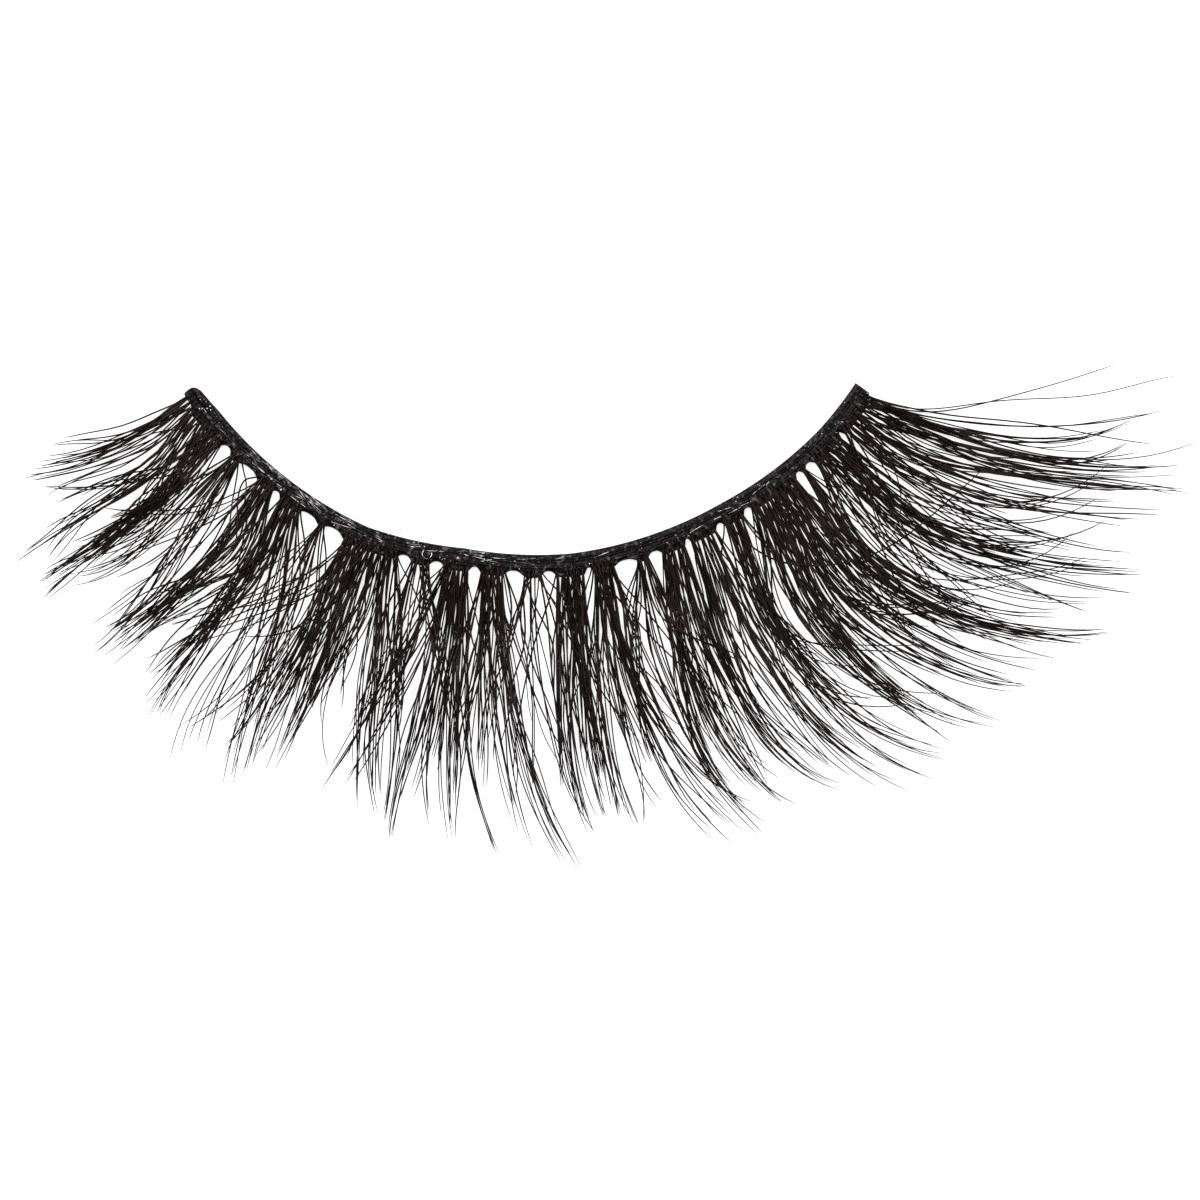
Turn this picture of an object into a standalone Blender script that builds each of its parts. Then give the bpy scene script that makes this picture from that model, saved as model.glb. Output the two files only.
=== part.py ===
"""A false eyelash strip: a curved band, and the clusters of lashes rooted along its outer edge.

Metres, +Z up. The strip lies flat as it does on a table, seen from above with the inner eye
corner at -X. The underside of the band and the bellies of the lashes rest at Z = 0, and the
tips curl up. The origin is the middle of the strip's box, on the surface it lies on.
"""

import math
import random

import bmesh
import bpy
import numpy as np
from mathutils import Matrix, Vector


# The band: its concave edge is an arc, with angles measured from straight down
EDGE_RADIUS = 0.0174
INNER_END_DEG = -52.5
OUTER_END_DEG = 54.5
BAND_WIDTH = 0.00072
BAND_THICKNESS = 0.00044
BAND_ROUNDING = 0.00008
WEB_DEPTH = 0.00028
EDGE_STEPS = 49
OUTLINE_STEPS = 170
ROUND_END_STEPS = 8

# The lashes: length of the longest in plan, and how high its tip curls
LASH_LENGTH = 0.015
CURL_HEIGHT = 0.0064
BELLY_SHARE = 0.28
CURL_POWER = 1.8

# The root of each cluster, a bead of glue that holds its locks
ROOT_LENGTH = 0.00085
ROOT_HEIGHT = 0.00042
ROOT_ROUNDING = 0.00009
ROOT_CLEARANCE = 0.0001
WINDOW_WIDTH = 0.00095
CLUSTER_CLEARANCE = 0.00012

# The locks of a cluster
LOCK_PITCH = 0.00044
LOCK_FLATNESS = 0.55
LOCK_SIDES = 6
LOCK_STEPS = 8
LOCK_TIP_RADIUS = 0.000035
LOCK_INSET = 0.0003
SHORTEST_LOCK = 0.80
LOWEST_LOCK = 0.62
LOCK_SEED = 11

# How the concave edge wavers: share along the band, offset as a share of the band's width
EDGE_WAVER = (
    (0.00, 0.00),
    (0.06, -0.14),
    (0.28, 0.20),
    (0.41, -0.13),
    (0.55, 0.06),
    (0.76, -0.08),
    (1.00, 0.00),
)

# Windows between the cluster roots: share along the band, opening as a share of WINDOW_WIDTH
ROOT_WINDOWS = (
    (0.068, 0.55),
    (0.108, 0.60),
    (0.147, 0.35),
    (0.199, 1.00),
    (0.239, 0.90),
    (0.332, 0.70),
    (0.379, 0.60),
    (0.427, 0.45),
    (0.476, 0.90),
    (0.520, 0.60),
    (0.571, 0.50),
    (0.618, 1.00),
    (0.656, 0.95),
    (0.706, 0.55),
    (0.749, 0.60),
    (0.789, 0.55),
    (0.864, 0.50),
    (0.887, 0.40),
    (0.937, 0.45),
)

# The lash field: share along the band, lean from the band's normal in degrees at the root and
# at the tip (plus is towards the outer corner), length as a share of LASH_LENGTH
LASH_FIELD = (
    (0.00, -7.0, -29.0, 0.57),
    (0.06, 2.0, 1.0, 0.70),
    (0.15, -3.0, -6.0, 0.74),
    (0.25, -8.0, -12.0, 0.81),
    (0.35, -5.0, -8.0, 0.82),
    (0.45, -6.0, 14.0, 0.84),
    (0.55, 6.0, 33.0, 0.86),
    (0.65, 11.0, 31.0, 0.91),
    (0.75, 8.0, 25.0, 0.96),
    (0.84, 6.0, 27.0, 0.98),
    (0.91, 0.0, 33.0, 1.00),
    (1.00, 12.0, 56.0, 0.94),
)

# Where a lock is widest and how it draws in: share along the lock, share of its full width
LOCK_TAPER = (
    (0.00, 1.12),
    (0.25, 0.96),
    (0.55, 0.70),
    (0.80, 0.36),
    (1.00, 0.00),
)

ARC_LENGTH = EDGE_RADIUS * math.radians(OUTER_END_DEG - INNER_END_DEG)
ROOT_OFFSET = BAND_WIDTH + WEB_DEPTH + ROOT_CLEARANCE

# Half the thickness of a lock, flat side down, as a share of its half width
HALF_THICKNESS = LOCK_FLATNESS * math.cos(math.pi / LOCK_SIDES)


def clear_scene():
    for item in list(bpy.data.objects):
        bpy.data.objects.remove(item, do_unlink=True)


def make_collection(name):
    collection = bpy.data.collections.new(name)
    bpy.context.scene.collection.children.link(collection)
    return collection


def make_material(name, color, roughness):
    material = bpy.data.materials.new(name)
    material.use_nodes = True
    shader = material.node_tree.nodes["Principled BSDF"]
    shader.inputs["Base Color"].default_value = (*color, 1.0)
    shader.inputs["Roughness"].default_value = roughness
    shader.inputs["Metallic"].default_value = 0.0
    return material


def read_table(table, share, column=1):
    shares = [row[0] for row in table]
    values = [row[column] for row in table]
    return float(np.interp(share, shares, values))


def band_angle(share):
    return math.radians(INNER_END_DEG + share * (OUTER_END_DEG - INNER_END_DEG))


def heading(angle):
    """Plan direction at an angle from straight down, plus towards +X."""
    return Vector((math.sin(angle), -math.cos(angle), 0.0))


def band_point(share, offset):
    """A plan point at a distance outside the concave edge, along the band's normal."""
    waver = BAND_WIDTH * read_table(EDGE_WAVER, share)
    return heading(band_angle(share)) * (EDGE_RADIUS + waver + offset)


def window_share(row):
    """A window's half opening as a share of the band's length."""
    return 0.5 * WINDOW_WIDTH * row[1] / ARC_LENGTH


def outer_offset(share):
    """Width of the band with its glue webs, which draw back at each window."""
    notch = max(math.exp(-((share - row[0]) / window_share(row)) ** 2) for row in ROOT_WINDOWS)
    return BAND_WIDTH + WEB_DEPTH * (1.0 - notch)


def band_outline():
    """Concave edge, straight cut at the outer corner, webbed edge, round inner end."""
    concave = [band_point(step / EDGE_STEPS, 0.0) for step in range(EDGE_STEPS + 1)]
    webbed = []
    for step in range(OUTLINE_STEPS + 1):
        share = 1.0 - step / OUTLINE_STEPS
        webbed.append(band_point(share, outer_offset(share)))
    across = concave[0] - webbed[-1]
    middle = (concave[0] + webbed[-1]) * 0.5
    along = Vector((across.y, -across.x, 0.0))
    round_end = []
    for step in range(1, ROUND_END_STEPS):
        turn = math.pi * step / ROUND_END_STEPS
        round_end.append(middle - 0.5 * across * math.cos(turn) - 0.5 * along * math.sin(turn))
    return concave + webbed + round_end


def curve_mesh(curve_object, name, collection):
    """The curve as a mesh object with welded caps, in place of the curve."""
    bpy.context.view_layer.update()
    evaluated = curve_object.evaluated_get(bpy.context.evaluated_depsgraph_get())
    mesh = bpy.data.meshes.new_from_object(evaluated)
    welded = bmesh.new()
    welded.from_mesh(mesh)
    bmesh.ops.remove_doubles(welded, verts=welded.verts, dist=0.00000001)
    bmesh.ops.recalc_face_normals(welded, faces=welded.faces)
    welded.to_mesh(mesh)
    welded.free()
    mesh_object = bpy.data.objects.new(name, mesh)
    mesh_object.matrix_world = curve_object.matrix_world
    collection.objects.link(mesh_object)
    bpy.data.objects.remove(curve_object, do_unlink=True)
    return mesh_object


def poly_spline(curve, points, cyclic):
    spline = curve.splines.new("POLY")
    spline.points.add(len(points) - 1)
    for place, point in zip(spline.points, points):
        place.co = (*point, 1.0)
    spline.use_cyclic_u = cyclic
    return spline


def build_band(parts):
    curve = bpy.data.curves.new("band_outline", "CURVE")
    curve.dimensions = "2D"
    curve.fill_mode = "BOTH"
    curve.extrude = 0.5 * BAND_THICKNESS - BAND_ROUNDING
    curve.bevel_depth = BAND_ROUNDING
    curve.bevel_resolution = 0
    curve.offset = -BAND_ROUNDING
    poly_spline(curve, band_outline(), cyclic=True)
    outline = bpy.data.objects.new("band_outline", curve)
    outline.location.z = 0.5 * BAND_THICKNESS
    parts.objects.link(outline)
    return curve_mesh(outline, "band", parts)


def lash_place(share, along):
    """A point of the lash field: its course in plan is an arc, and it curls up past its belly."""
    normal = band_angle(share)
    root = normal + math.radians(read_table(LASH_FIELD, share, 1))
    turn = math.radians(read_table(LASH_FIELD, share, 2)) - (root - normal)
    length = LASH_LENGTH * read_table(LASH_FIELD, share, 3)
    chord = length * along * float(np.sinc(0.5 * turn * along / math.pi))
    point = band_point(share, ROOT_OFFSET) + heading(root + 0.5 * turn * along) * chord
    past_belly = max(0.0, along - BELLY_SHARE) / (1.0 - BELLY_SHARE)
    point.z = CURL_HEIGHT * (length / LASH_LENGTH) * past_belly ** CURL_POWER
    return point


def cluster_limits(index, along):
    """Shares between which a cluster lies: clear of the windows at its root, wider further out."""
    closing = max(0.0, 1.0 - along / BELLY_SHARE)
    low, high = 0.0, 1.0
    if index > 0:
        row = ROOT_WINDOWS[index - 1]
        low = row[0] + window_share(row) * closing
    if index < len(ROOT_WINDOWS):
        row = ROOT_WINDOWS[index]
        high = row[0] - window_share(row) * closing
    return low, high


def sector_width(index, along):
    """Clear width of a cluster's sector, square to the course of its lashes."""
    low, high = cluster_limits(index, along)
    span = lash_place(high, along) - lash_place(low, along)
    middle = 0.5 * (low + high)
    lean = np.interp(along, (0.0, 1.0), [read_table(LASH_FIELD, middle, column) for column in (1, 2)])
    course = heading(band_angle(middle) + math.radians(float(lean)))
    return abs(course.x * span.y - course.y * span.x) - CLUSTER_CLEARANCE


def build_lock(index, place, fill, reach, lift, section, guides):
    """One tapered lock, from inside the root bead to its tip."""
    curve = bpy.data.curves.new("lock", "CURVE")
    curve.dimensions = "3D"
    curve.bevel_mode = "OBJECT"
    curve.bevel_object = section
    curve.twist_mode = "Z_UP"
    curve.use_fill_caps = True
    points = []
    radii = []
    for step in range(LOCK_STEPS + 1):
        share_out = step / LOCK_STEPS
        along = reach * share_out
        low, high = cluster_limits(index, along)
        width = sector_width(index, along)
        radius = 0.5 * width * fill * read_table(LOCK_TAPER, share_out) + LOCK_TIP_RADIUS
        point = lash_place(0.5 * (low + high) + 0.5 * (high - low) * place, along)
        point.z = point.z * lift + HALF_THICKNESS * radius
        points.append(point)
        radii.append(radius)
    points[0] += (points[1] - points[0]).normalized() * LOCK_INSET
    spline = poly_spline(curve, points, cyclic=False)
    for point, radius in zip(spline.points, radii):
        point.radius = radius
    lock = bpy.data.objects.new("lock", curve)
    guides.objects.link(lock)
    return curve_mesh(lock, "lock_mesh", guides)


def build_root(index, parts):
    """The bead of glue at a cluster's root, a rounded block against the band's web."""
    low, high = cluster_limits(index, 0.0)
    middle = 0.5 * (low + high)
    width = (band_point(high, ROOT_OFFSET) - band_point(low, ROOT_OFFSET)).length
    bpy.ops.mesh.primitive_cube_add(size=1.0)
    root = bpy.context.object
    for collection in root.users_collection:
        collection.objects.unlink(root)
    parts.objects.link(root)
    root.name = f"lash_cluster_{index + 1:02d}"
    root.data.name = root.name
    root.data.transform(Matrix.Diagonal((width, ROOT_LENGTH, ROOT_HEIGHT, 1.0)))
    root.location = band_point(middle, ROOT_OFFSET + 0.5 * ROOT_LENGTH)
    root.location.z = 0.5 * ROOT_HEIGHT
    root.rotation_euler.z = band_angle(middle)
    bevel = root.modifiers.new("rounding", "BEVEL")
    bevel.width = ROOT_ROUNDING
    bevel.segments = 1
    return root


def build_section(guides):
    """Flat oval section of a lock, one unit in half width, scaled by each point's radius."""
    curve = bpy.data.curves.new("lock_section", "CURVE")
    curve.dimensions = "2D"
    outline = []
    for side in range(LOCK_SIDES):
        turn = 2.0 * math.pi * (side + 0.5) / LOCK_SIDES - 0.5 * math.pi
        outline.append((math.cos(turn), LOCK_FLATNESS * math.sin(turn), 0.0))
    poly_spline(curve, outline, cyclic=True)
    section = bpy.data.objects.new("lock_section", curve)
    section.hide_render = True
    section.display_type = "WIRE"
    guides.objects.link(section)
    return section


def fuse(base, pieces):
    """Joins the pieces to the base as one closed body."""
    for piece in pieces:
        union = base.modifiers.new("union", "BOOLEAN")
        union.operation = "UNION"
        union.solver = "EXACT"
        union.object = piece
    bpy.context.view_layer.update()
    evaluated = base.evaluated_get(bpy.context.evaluated_depsgraph_get())
    mesh = bpy.data.meshes.new_from_object(evaluated)
    base.modifiers.clear()
    base.data = mesh
    for piece in pieces:
        bpy.data.objects.remove(piece, do_unlink=True)


def build_cluster(index, section, parts, guides, chance):
    root = build_root(index, parts)
    low, high = cluster_limits(index, BELLY_SHARE)
    count = max(2, round((high - low) * ARC_LENGTH / LOCK_PITCH))
    locks = []
    for number in range(count):
        place = (2 * number + 1) / count - 1.0
        reach = chance.uniform(SHORTEST_LOCK, 1.0)
        lift = 1.0 if number % 2 == 0 else chance.uniform(LOWEST_LOCK, 1.0)
        locks.append(build_lock(index, place, 1.0 / count, reach, lift, section, guides))
    fuse(root, locks)
    return root


def shade(part, material):
    part.data.materials.clear()
    part.data.materials.append(material)
    part.data.shade_smooth()
    part.data.set_sharp_from_angle(angle=math.radians(40))


def centre_on_origin(pieces):
    """Moves the strip so that the middle of its box lies over the origin."""
    bpy.context.view_layer.update()
    corners = [piece.matrix_world @ vertex.co for piece in pieces for vertex in piece.data.vertices]
    for axis in (0, 1):
        middle = 0.5 * (min(corner[axis] for corner in corners) + max(corner[axis] for corner in corners))
        for piece in pieces:
            piece.location[axis] -= middle


def build_strip():
    clear_scene()
    parts = make_collection("false_eyelash_strip")
    guides = make_collection("guides")
    band_black = make_material("band_black", (0.018, 0.016, 0.017), 0.42)
    lash_black = make_material("lash_black", (0.012, 0.009, 0.009), 0.38)
    band = build_band(parts)
    shade(band, band_black)
    section = build_section(guides)
    chance = random.Random(LOCK_SEED)
    clusters = []
    for index in range(len(ROOT_WINDOWS) + 1):
        cluster = build_cluster(index, section, parts, guides, chance)
        shade(cluster, lash_black)
        clusters.append(cluster)
    centre_on_origin([band] + clusters)


build_strip()
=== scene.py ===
"""The looks of a false eyelash strip that lies on a pale surface, seen from straight above.

The band is one glued strip with webs and windows along its outer edge, and fine threads along
its top. The lashes are about a thousand single tapered hairs. Each grows from the glue of one
cluster and runs to one of the spikes that the photo shows, so the hairs cross each other.
"""

import math

import bpy
import numpy as np
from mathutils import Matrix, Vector


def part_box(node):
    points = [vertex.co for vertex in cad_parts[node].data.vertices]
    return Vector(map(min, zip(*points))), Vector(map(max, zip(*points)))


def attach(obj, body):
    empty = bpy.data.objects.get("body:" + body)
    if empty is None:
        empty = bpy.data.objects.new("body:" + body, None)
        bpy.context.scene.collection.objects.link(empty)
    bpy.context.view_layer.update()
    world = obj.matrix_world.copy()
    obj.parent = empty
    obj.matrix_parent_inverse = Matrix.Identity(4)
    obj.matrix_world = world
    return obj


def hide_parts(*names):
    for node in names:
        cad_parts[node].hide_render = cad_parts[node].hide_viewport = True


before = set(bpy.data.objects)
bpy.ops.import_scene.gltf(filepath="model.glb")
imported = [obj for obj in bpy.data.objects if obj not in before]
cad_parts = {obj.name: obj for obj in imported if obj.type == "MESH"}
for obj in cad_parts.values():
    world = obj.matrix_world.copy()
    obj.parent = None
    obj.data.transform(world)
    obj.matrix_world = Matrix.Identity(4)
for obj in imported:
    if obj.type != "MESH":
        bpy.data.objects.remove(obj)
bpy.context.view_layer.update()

MM = 0.001

# The photo: metres for each of its pixels, its side and the centre of the band's arc in pixels
PIXEL = 0.0427 * MM
PHOTO_SIZE = 1200
ARC_CENTRE_PIXEL = (525.2, 147.4)

# The band, with the driving sizes of the solid one
EDGE_RADIUS = 17.4 * MM
INNER_END_DEG = -52.5
OUTER_END_DEG = 54.5
BAND_WIDTH = 0.72 * MM
WEB_DEPTH = 0.28 * MM
WINDOW_WIDTH = 0.95 * MM
ARC_LENGTH = EDGE_RADIUS * math.radians(OUTER_END_DEG - INNER_END_DEG)

# The lashes, with the driving sizes of the solid clusters
LASH_LENGTH = 15.0 * MM
CURL_HEIGHT = 6.4 * MM
BELLY_SHARE = 0.28
CURL_POWER = 1.8

# How the concave edge wavers, a little closer to the photo than in the solids: share along the
# band, offset as a share of the band's width
EDGE_WAVER = (
    (0.00, -0.15),
    (0.03, -0.21),
    (0.07, -0.15),
    (0.28, 0.20),
    (0.41, -0.13),
    (0.55, 0.06),
    (0.76, -0.08),
    (0.92, 0.00),
    (1.00, -0.11),
)

# Windows between the cluster roots, also closer to the photo: share along the band, opening as a
# share of WINDOW_WIDTH
ROOT_WINDOWS = (
    (0.073, 0.55),
    (0.112, 1.10),
    (0.157, 0.45),
    (0.206, 1.00),
    (0.242, 0.95),
    (0.337, 0.60),
    (0.379, 0.60),
    (0.427, 0.45),
    (0.476, 0.78),
    (0.520, 0.60),
    (0.571, 0.30),
    (0.618, 1.00),
    (0.656, 0.62),
    (0.700, 0.24),
    (0.745, 0.40),
    (0.785, 0.42),
    (0.864, 0.35),
    (0.881, 0.48),
    (0.937, 0.15),
)

# Locks of the fringe, in the photo's pixels: where the root lies across the picture, two bends
# on the way, the tip, the number of hairs, and how loosely they lie together at the bends
LOCKS = (
    (182, (160, 411), (125, 424), (65, 438), 1, 0.0),
    (186, (150, 423), (110, 437), (52, 446), 3, 1.5),
    (188, (150, 424), (100, 447), (40, 460), 3, 1.5),
    (189, (150, 426), (105, 449), (32, 467), 6, 1.5),
    (192, (140, 438), (80, 464), (22, 479), 3, 1.5),
    (194, (150, 440), (90, 467), (33, 481), 3, 1.5),
    (197, (140, 455), (90, 475), (45, 497), 3, 2.0),
    (200, (150, 462), (95, 488), (52, 507), 3, 2.0),
    (214, (165, 470), (120, 484), (48, 487), 3, 1.0),
    (202, (150, 470), (90, 510), (17, 560), 7, 3.0),
    (204, (158, 470), (110, 498), (47, 556), 6, 3.0),
    (208, (168, 478), (140, 508), (73, 546), 5, 2.5),
    (210, (178, 470), (130, 520), (43, 584), 8, 3.0),
    (213, (180, 476), (135, 518), (43, 597), 8, 3.0),
    (212, (175, 482), (120, 528), (45, 575), 6, 3.0),
    (216, (190, 455), (165, 490), (60, 580), 6, 5.0),
    (218, (195, 465), (165, 500), (100, 545), 5, 6.0),
    (222, (200, 470), (165, 505), (95, 560), 5, 3.0),
    (215, (196, 462), (170, 490), (110, 520), 6, 3.0),
    (228, (195, 495), (155, 538), (73, 576), 4, 2.0),
    (232, (205, 490), (160, 535), (108, 566), 2, 3.0),
    (225, (185, 500), (150, 535), (92, 558), 2, 3.0),
    (240, (200, 515), (165, 550), (105, 584), 2, 3.0),
    (243, (200, 530), (150, 575), (78, 630), 3, 2.5),
    (236, (198, 505), (165, 560), (92, 652), 4, 3.0),
    (240, (205, 505), (178, 560), (107, 630), 4, 3.0),
    (262, (232, 525), (190, 575), (122, 650), 4, 4.0),
    (264, (235, 530), (195, 585), (130, 650), 3, 4.0),
    (246, (242, 480), (238, 510), (205, 570), 2, 2.0),
    (255, (247, 490), (225, 530), (185, 590), 2, 3.0),
    (262, (222, 540), (178, 584), (113, 632), 9, 4.0),
    (264, (226, 540), (182, 590), (118, 645), 6, 4.0),
    (268, (228, 545), (175, 600), (105, 658), 5, 4.0),
    (266, (225, 565), (165, 605), (115, 663), 6, 3.0),
    (276, (235, 575), (190, 605), (140, 640), 4, 4.0),
    (262, (215, 507), (155, 513), (97, 505), 2, 1.0),
    (263, (225, 515), (175, 535), (125, 552), 2, 2.0),
    (280, (258, 545), (228, 595), (150, 719), 6, 3.0),
    (282, (262, 540), (232, 590), (143, 684), 6, 3.5),
    (284, (255, 560), (225, 610), (148, 704), 5, 3.5),
    (286, (258, 565), (222, 620), (165, 715), 5, 4.0),
    (288, (262, 560), (235, 590), (148, 678), 5, 3.0),
    (290, (250, 590), (210, 625), (150, 659), 2, 4.0),
    (294, (262, 590), (215, 675), (178, 768), 3, 3.5),
    (296, (265, 600), (222, 690), (200, 772), 3, 3.5),
    (300, (270, 610), (242, 710), (221, 793), 3, 3.5),
    (298, (270, 600), (240, 680), (197, 732), 2, 4.0),
    (304, (283, 600), (252, 700), (233, 775), 3, 3.5),
    (310, (288, 610), (262, 700), (240, 778), 4, 3.5),
    (318, (290, 620), (262, 680), (223, 750), 3, 5.0),
    (322, (295, 620), (238, 688), (183, 727), 3, 4.0),
    (326, (300, 615), (265, 670), (197, 730), 2, 5.0),
    (345, (318, 600), (285, 660), (225, 745), 5, 4.0),
    (347, (320, 610), (275, 700), (250, 770), 6, 4.0),
    (349, (325, 610), (298, 670), (248, 757), 6, 3.5),
    (351, (332, 600), (305, 660), (267, 720), 7, 3.5),
    (353, (332, 620), (302, 700), (270, 771), 6, 3.5),
    (356, (340, 610), (312, 690), (286, 742), 6, 3.0),
    (352, (340, 600), (322, 650), (300, 722), 7, 3.5),
    (362, (350, 610), (335, 650), (310, 705), 7, 3.5),
    (372, (355, 610), (337, 650), (298, 722), 7, 3.5),
    (365, (350, 620), (325, 695), (328, 765), 2, 1.0),
    (368, (352, 640), (344, 682), (340, 719), 2, 1.0),
    (350, (330, 605), (285, 632), (246, 637), 2, 1.0),
    (345, (300, 588), (250, 615), (190, 640), 4, 8.0),
    (332, (290, 570), (240, 600), (165, 625), 3, 8.0),
    (318, (275, 560), (225, 590), (160, 615), 2, 8.0),
    (303, (275, 545), (220, 575), (150, 592), 2, 6.0),
    (322, (300, 590), (283, 640), (262, 700), 2, 6.0),
    (300, (293, 560), (287, 600), (270, 650), 1, 5.0),
    (378, (362, 620), (350, 650), (325, 700), 4, 3.5),
    (392, (372, 630), (361, 700), (358, 802), 5, 1.8),
    (384, (374, 640), (366, 710), (362, 830), 2, 3.0),
    (396, (378, 660), (368, 740), (377, 815), 4, 2.5),
    (398, (386, 640), (378, 720), (376, 835), 4, 3.0),
    (400, (390, 620), (384, 690), (380, 838), 2, 3.0),
    (402, (398, 640), (397, 700), (385, 822), 5, 1.8),
    (396, (400, 610), (403, 680), (398, 740), 2, 2.0),
    (412, (408, 610), (404, 660), (398, 720), 2, 3.0),
    (420, (414, 610), (400, 670), (385, 730), 2, 3.0),
    (430, (420, 605), (402, 660), (370, 720), 2, 3.0),
    (440, (424, 600), (400, 660), (370, 730), 2, 3.0),
    (418, (428, 610), (438, 660), (450, 730), 2, 2.0),
    (428, (434, 610), (446, 670), (452, 740), 2, 2.0),
    (446, (436, 640), (424, 700), (405, 770), 3, 3.5),
    (455, (444, 640), (430, 720), (410, 790), 3, 3.0),
    (462, (455, 640), (446, 700), (436, 770), 3, 3.0),
    (438, (418, 625), (380, 698), (325, 790), 4, 3.0),
    (446, (428, 628), (392, 710), (347, 785), 4, 3.0),
    (442, (410, 640), (375, 690), (332, 742), 3, 4.0),
    (381, (370, 680), (360, 720), (344, 767), 4, 5.0),
    (449, (432, 650), (405, 745), (388, 843), 4, 3.0),
    (451, (440, 650), (415, 740), (391, 835), 4, 3.0),
    (453, (440, 650), (425, 710), (399, 808), 3, 3.0),
    (461, (452, 650), (437, 720), (413, 798), 4, 3.5),
    (457, (442, 660), (428, 745), (433, 830), 4, 1.8),
    (463, (450, 660), (440, 740), (445, 832), 2, 2.5),
    (466, (458, 640), (448, 745), (455, 845), 5, 2.5),
    (470, (462, 650), (455, 740), (452, 838), 5, 2.5),
    (480, (472, 650), (462, 730), (455, 800), 4, 3.5),
    (490, (488, 650), (484, 730), (480, 800), 4, 3.5),
    (484, (478, 630), (468, 690), (458, 765), 7, 3.0),
    (466, (461, 660), (474, 772), (498, 853), 4, 1.5),
    (486, (474, 650), (464, 740), (463, 790), 2, 4.0),
    (488, (484, 640), (478, 710), (470, 775), 4, 4.5),
    (487, (492, 650), (500, 750), (520, 830), 4, 2.5),
    (490, (499, 690), (514, 790), (538, 862), 4, 2.0),
    (494, (507, 680), (530, 790), (563, 862), 4, 2.0),
    (497, (510, 680), (541, 790), (577, 866), 5, 2.0),
    (499, (512, 680), (535, 780), (568, 852), 5, 2.5),
    (498, (505, 640), (500, 700), (497, 762), 2, 5.0),
    (524, (508, 625), (494, 690), (482, 765), 4, 4.0),
    (528, (520, 650), (518, 720), (519, 812), 2, 2.0),
    (505, (522, 635), (540, 710), (562, 762), 2, 3.0),
    (530, (532, 640), (535, 710), (532, 790), 2, 3.0),
    (536, (548, 640), (554, 690), (558, 750), 2, 3.0),
    (537, (560, 612), (590, 670), (640, 745), 2, 2.0),
    (533, (540, 680), (563, 775), (593, 833), 2, 2.0),
    (557, (557, 640), (558, 710), (561, 790), 5, 1.6),
    (560, (559, 650), (565, 750), (585, 820), 5, 2.2),
    (563, (563, 650), (569, 740), (592, 830), 5, 2.5),
    (566, (570, 650), (576, 740), (597, 816), 3, 3.0),
    (570, (578, 650), (587, 740), (606, 815), 4, 3.5),
    (572, (576, 640), (582, 700), (590, 770), 4, 3.5),
    (582, (584, 640), (588, 700), (600, 780), 5, 3.5),
    (575, (578, 640), (573, 700), (583, 795), 4, 3.0),
    (573, (585, 660), (595, 740), (613, 824), 4, 3.0),
    (580, (590, 660), (603, 750), (621, 828), 5, 2.5),
    (597, (595, 650), (605, 740), (619, 815), 4, 3.0),
    (601, (606, 670), (633, 755), (643, 822), 3, 2.5),
    (599, (600, 660), (612, 750), (637, 825), 4, 3.0),
    (603, (612, 670), (640, 770), (680, 831), 2, 2.5),
    (604, (608, 650), (622, 720), (640, 775), 5, 4.0),
    (608, (620, 680), (645, 745), (666, 792), 2, 3.5),
    (606, (625, 680), (662, 770), (720, 841), 3, 2.5),
    (608, (628, 670), (668, 765), (731, 841), 3, 2.5),
    (610, (632, 670), (662, 740), (741, 834), 4, 3.0),
    (612, (640, 680), (672, 745), (744, 808), 3, 3.0),
    (609, (622, 655), (648, 705), (682, 738), 3, 3.5),
    (614, (638, 660), (668, 728), (753, 798), 3, 3.0),
    (633, (634, 620), (637, 690), (655, 765), 5, 1.8),
    (640, (655, 660), (692, 745), (762, 835), 3, 2.5),
    (643, (662, 650), (700, 750), (769, 825), 3, 2.5),
    (664, (678, 620), (700, 680), (740, 745), 5, 3.5),
    (662, (672, 610), (684, 660), (705, 730), 5, 3.0),
    (668, (680, 600), (700, 650), (730, 700), 6, 4.0),
    (657, (672, 620), (682, 690), (745, 812), 7, 2.5),
    (660, (675, 640), (692, 715), (735, 795), 5, 2.5),
    (612, (648, 612), (698, 675), (745, 722), 2, 3.5),
    (640, (668, 618), (700, 640), (745, 660), 2, 2.0),
    (666, (690, 650), (722, 720), (783, 779), 2, 3.0),
    (665, (688, 670), (735, 765), (793, 808), 7, 2.5),
    (670, (698, 660), (738, 755), (781, 800), 6, 3.0),
    (674, (702, 650), (730, 715), (767, 785), 6, 3.5),
    (680, (710, 640), (752, 722), (800, 772), 6, 3.5),
    (694, (727, 650), (765, 735), (841, 789), 5, 3.0),
    (697, (730, 640), (770, 728), (838, 786), 4, 2.5),
    (701, (735, 640), (765, 700), (843, 780), 4, 4.0),
    (692, (712, 620), (742, 700), (795, 755), 5, 5.0),
    (700, (722, 610), (750, 670), (800, 740), 3, 6.0),
    (705, (745, 640), (790, 710), (840, 772), 3, 4.0),
    (712, (752, 640), (812, 728), (904, 793), 4, 2.5),
    (713, (755, 630), (815, 722), (897, 778), 5, 2.5),
    (716, (755, 600), (800, 690), (885, 758), 4, 4.0),
    (711, (745, 605), (790, 680), (850, 740), 4, 5.0),
    (728, (765, 610), (825, 705), (932, 777), 4, 2.5),
    (735, (770, 620), (835, 702), (943, 757), 5, 3.0),
    (740, (775, 620), (850, 708), (950, 746), 6, 2.5),
    (733, (760, 590), (790, 640), (822, 680), 5, 5.0),
    (738, (772, 610), (805, 655), (850, 700), 6, 4.0),
    (741, (780, 640), (840, 690), (905, 700), 4, 3.0),
    (755, (795, 640), (870, 685), (958, 692), 2, 2.5),
    (768, (800, 590), (842, 645), (905, 700), 9, 4.0),
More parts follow.
